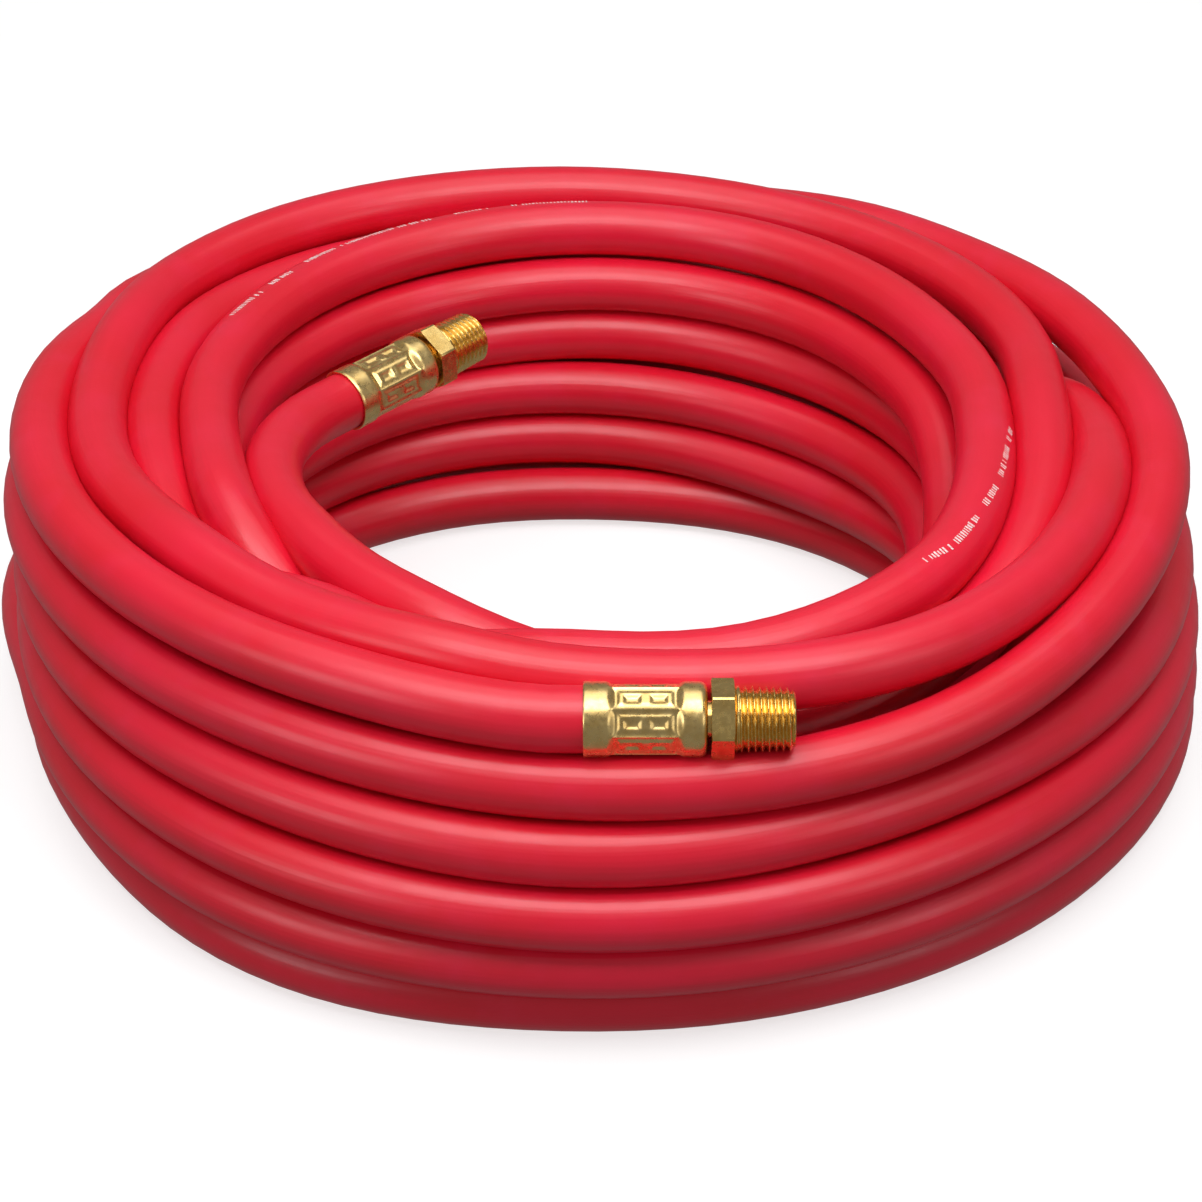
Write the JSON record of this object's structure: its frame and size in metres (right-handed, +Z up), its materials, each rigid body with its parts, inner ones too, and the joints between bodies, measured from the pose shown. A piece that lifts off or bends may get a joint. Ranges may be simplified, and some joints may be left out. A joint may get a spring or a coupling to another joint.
{
  "type": "coiled air hose",
  "caption": "Rubber compressed-air hose wound in a flat round coil, with crimped brass taper-thread end fittings.",
  "frame": {"origin": "centre of the coil's foot, on the floor", "axes": "+Z up along the coil's axis, +X along the front fitting towards its thread, -Y towards the side where the front fitting lies"},
  "size_m": [0.2884, 0.2884, 0.0829],
  "materials": {
    "hose_cover": "smooth red rubber with a soft gloss",
    "hose_liner": "smooth black rubber",
    "hose_braid": "natural yarn",
    "fitting_brass": "bright yellow brass, machined and pressed"
  },
  "bodies": {
    "root": {"hose_coil": "hose_cover", "front_hose_end": "hose_cover", "inner_hose_end": "hose_cover", "front_cover": "hose_cover", "inner_cover": "hose_cover", "front_braid": "hose_braid", "inner_braid": "hose_braid", "front_liner": "hose_liner", "inner_liner": "hose_liner", "front_ferrule": "fitting_brass", "inner_ferrule": "fitting_brass", "front_stem": "fitting_brass", "inner_stem": "fitting_brass"}
  },
  "joints": []
}
